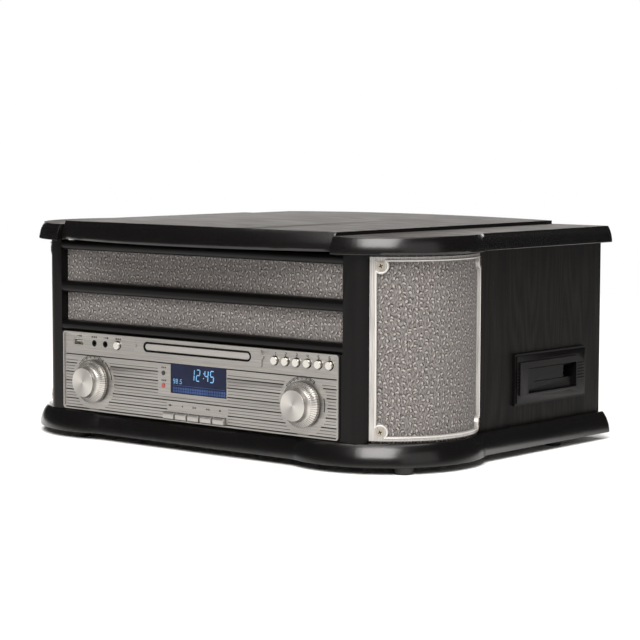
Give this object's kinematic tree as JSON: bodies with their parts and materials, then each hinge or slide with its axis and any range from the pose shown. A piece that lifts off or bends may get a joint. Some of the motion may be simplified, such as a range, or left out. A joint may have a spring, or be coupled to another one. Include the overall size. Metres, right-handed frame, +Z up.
{
  "type": "stereo music centre",
  "caption": "Tabletop music centre with a lidded record player, radio, disc drawer, cassette slot, curved cloth-fronted speakers and two large dials.",
  "frame": {"origin": "centre of the footprint, on the surface that the feet stand on", "axes": "+Z up, the control panel faces -Y, +X is the viewer's right when facing the panel"},
  "size_m": [0.498, 0.3714, 0.2089],
  "materials": {
    "lacquer_black": "satin black lacquer on board",
    "ash_black": "black ash veneer with open vertical grain, satin",
    "board_black": "matt black board",
    "frame_black": "satin black moulding",
    "foot_rubber": "matt",
    "grille_cloth": "grey woven cloth with light and dark flecks",
    "trim_silver": "satin silver",
    "screw_steel": "polished",
    "baffle_wood": "raw board",
    "speaker_black": "matt paper cone, steel basket",
    "panel_silver": "brushed and grooved silver",
    "display_glass": "dark blue lit display behind a clear window",
    "eye_plastic": "dark clear",
    "lamp_red": "lit red",
    "socket_metal": "plated",
    "socket_black": "matt",
    "button_chrome": "plated, satin",
    "key_silver": "satin silver",
    "knob_aluminium": "turned, bright",
    "board_green": "fibre board",
    "drawer_silver": "satin silver front, plastic tray",
    "mechanism_plastic": "matt",
    "bezel_black": "fine satin",
    "flap_black": "satin",
    "push_black": "satin",
    "deck_black": "fine matt",
    "platter_metal": "cast",
    "mat_rubber": "ribbed matt",
    "motor_steel": "plated",
    "pulley_brass": "turned",
    "belt_rubber": "matt",
    "yoke_plastic": "matt",
    "arm_metal": "satin",
    "switch_plastic": "satin",
    "hinge_steel": "plated",
    "bumper_white": "matt"
  },
  "bodies": {
    "cabinet": {"base_plinth": "lacquer_black", "top_shoulder_left": "lacquer_black", "top_shoulder_right": "lacquer_black", "side_panel_left": "ash_black", "side_panel_right": "ash_black", "back_panel": "board_black", "front_frame": "frame_black", "feet": "foot_rubber", "cloth_strips": "grille_cloth", "speaker_cloth_left": "grille_cloth", "speaker_cloth_right": "grille_cloth", "speaker_frame_left": "trim_silver", "speaker_frame_right": "trim_silver", "frame_screws": "screw_steel", "speaker_baffles": "baffle_wood", "speaker_driver_left": "speaker_black", "speaker_driver_right": "speaker_black", "control_panel": "panel_silver", "display_window": "display_glass", "remote_eye": "eye_plastic", "power_lamp": "lamp_red", "usb_socket": "socket_metal", "jack_sockets": "socket_black", "line_out_sockets": "socket_black", "mains_inlet": "socket_black", "front_circuit_board": "board_green", "main_circuit_board": "board_green", "cd_mechanism": "mechanism_plastic", "cassette_mechanism": "mechanism_plastic", "cassette_bezel": "bezel_black", "turntable_deck": "deck_black", "motor": "motor_steel", "drive_belt": "belt_rubber", "hinge_leaves_body": "hinge_steel", "lid_bumpers": "bumper_white"},
    "lid_assembly": {"lid": "ash_black", "hinge_leaves_lid": "hinge_steel"},
    "platter_assembly": {"platter": "platter_metal", "platter_mat": "mat_rubber"},
    "motor_pulley": {"motor_pulley": "pulley_brass"},
    "arm_yoke": {"tonearm_yoke": "yoke_plastic"},
    "arm": {"tonearm": "arm_metal"},
    "speed_switch": {"speed_switch": "switch_plastic"},
    "disc_drawer": {"cd_drawer": "drawer_silver"},
    "cassette_flap": {"cassette_flap": "flap_black"},
    "cassette_button": {"cassette_button": "push_black"},
    "volume_knob": {"volume_knob": "knob_aluminium"},
    "tuning_knob": {"tuning_knob": "knob_aluminium"},
    "function_button": {"function_button": "button_chrome"},
    "track_button_1": {"track_button_1": "button_chrome"},
    "track_button_2": {"track_button_2": "button_chrome"},
    "track_button_3": {"track_button_3": "button_chrome"},
    "track_button_4": {"track_button_4": "button_chrome"},
    "track_button_5": {"track_button_5": "button_chrome"},
    "track_button_6": {"track_button_6": "button_chrome"},
    "play_key_1": {"play_key_1": "key_silver"},
    "play_key_2": {"play_key_2": "key_silver"},
    "play_key_3": {"play_key_3": "key_silver"},
    "play_key_4": {"play_key_4": "key_silver"},
    "play_key_5": {"play_key_5": "key_silver"}
  },
  "joints": [
    {"name": "lid_hinge", "type": "hinge", "parent": "cabinet", "child": "lid_assembly", "pos_m": [0, 0.1827, 0.1904], "axis": [-1, 0, 0], "range_deg": [0, 75]},
    {"name": "platter_spin", "type": "hinge", "parent": "cabinet", "child": "platter_assembly", "pos_m": [-0.011, 0.0208, 0.1519], "axis": [0, 0, -1], "continuous": true},
    {"name": "motor_spin", "type": "hinge", "parent": "cabinet", "child": "motor_pulley", "pos_m": [-0.071, -0.0392, 0.1504], "axis": [0, 0, -1], "continuous": true},
    {"name": "arm_swing", "type": "hinge", "parent": "cabinet", "child": "arm_yoke", "pos_m": [0.137, 0.1348, 0.1724], "axis": [0, 0, -1], "range_deg": [0, 38]},
    {"name": "arm_lift", "type": "hinge", "parent": "arm_yoke", "child": "arm", "pos_m": [0.137, 0.1348, 0.1724], "axis": [-1, 0, 0], "range_deg": [0, 4]},
    {"name": "speed_select", "type": "slide", "parent": "cabinet", "child": "speed_switch", "axis": [0, 1, 0], "range_m": [0, 0.012]},
    {"name": "drawer_slide", "type": "slide", "parent": "cabinet", "child": "disc_drawer", "axis": [0, -1, 0], "range_m": [0, 0.126]},
    {"name": "cassette_flap_swing", "type": "hinge", "parent": "cabinet", "child": "cassette_flap", "pos_m": [0.2241, 0.0991, 0.0762], "axis": [0, 1, 0], "range_deg": [0, 70], "stiffness_Nm_per_rad": 0.01, "springref_deg": -11.46},
    {"name": "cassette_push", "type": "slide", "parent": "cabinet", "child": "cassette_button", "axis": [-1, 0, 0], "range_m": [0, 0.003], "stiffness_N_per_m": 500, "springref_m": -0.001},
    {"name": "volume_turn", "type": "hinge", "parent": "cabinet", "child": "volume_knob", "pos_m": [-0.131, -0.1467, 0.0555], "axis": [0, 1, 0], "range_deg": [-150, 150]},
    {"name": "tuning_turn", "type": "hinge", "parent": "cabinet", "child": "tuning_knob", "pos_m": [0.131, -0.1467, 0.0555], "axis": [0, 1, 0], "continuous": true},
    {"name": "function_press", "type": "slide", "parent": "cabinet", "child": "function_button", "axis": [0, 1, 0], "range_m": [0, 0.0012], "stiffness_N_per_m": 700, "springref_m": -0.0005},
    {"name": "track_1_press", "type": "slide", "parent": "cabinet", "child": "track_button_1", "axis": [0, 1, 0], "range_m": [0, 0.0012], "stiffness_N_per_m": 700, "springref_m": -0.0005},
    {"name": "track_2_press", "type": "slide", "parent": "cabinet", "child": "track_button_2", "axis": [0, 1, 0], "range_m": [0, 0.0012], "stiffness_N_per_m": 700, "springref_m": -0.0005},
    {"name": "track_3_press", "type": "slide", "parent": "cabinet", "child": "track_button_3", "axis": [0, 1, 0], "range_m": [0, 0.0012], "stiffness_N_per_m": 700, "springref_m": -0.0005},
    {"name": "track_4_press", "type": "slide", "parent": "cabinet", "child": "track_button_4", "axis": [0, 1, 0], "range_m": [0, 0.0012], "stiffness_N_per_m": 700, "springref_m": -0.0005},
    {"name": "track_5_press", "type": "slide", "parent": "cabinet", "child": "track_button_5", "axis": [0, 1, 0], "range_m": [0, 0.0012], "stiffness_N_per_m": 700, "springref_m": -0.0005},
    {"name": "track_6_press", "type": "slide", "parent": "cabinet", "child": "track_button_6", "axis": [0, 1, 0], "range_m": [0, 0.0012], "stiffness_N_per_m": 700, "springref_m": -0.0005},
    {"name": "key_1_press", "type": "slide", "parent": "cabinet", "child": "play_key_1", "axis": [0, 1, 0], "range_m": [0, 0.0012], "stiffness_N_per_m": 700, "springref_m": -0.0005},
    {"name": "key_2_press", "type": "slide", "parent": "cabinet", "child": "play_key_2", "axis": [0, 1, 0], "range_m": [0, 0.0012], "stiffness_N_per_m": 700, "springref_m": -0.0005},
    {"name": "key_3_press", "type": "slide", "parent": "cabinet", "child": "play_key_3", "axis": [0, 1, 0], "range_m": [0, 0.0012], "stiffness_N_per_m": 700, "springref_m": -0.0005},
    {"name": "key_4_press", "type": "slide", "parent": "cabinet", "child": "play_key_4", "axis": [0, 1, 0], "range_m": [0, 0.0012], "stiffness_N_per_m": 700, "springref_m": -0.0005},
    {"name": "key_5_press", "type": "slide", "parent": "cabinet", "child": "play_key_5", "axis": [0, 1, 0], "range_m": [0, 0.0012], "stiffness_N_per_m": 700, "springref_m": -0.0005}
  ],
  "couplings": [
    {"joint": "motor_spin", "follows": "platter_spin", "ratio": 11.667}
  ]
}
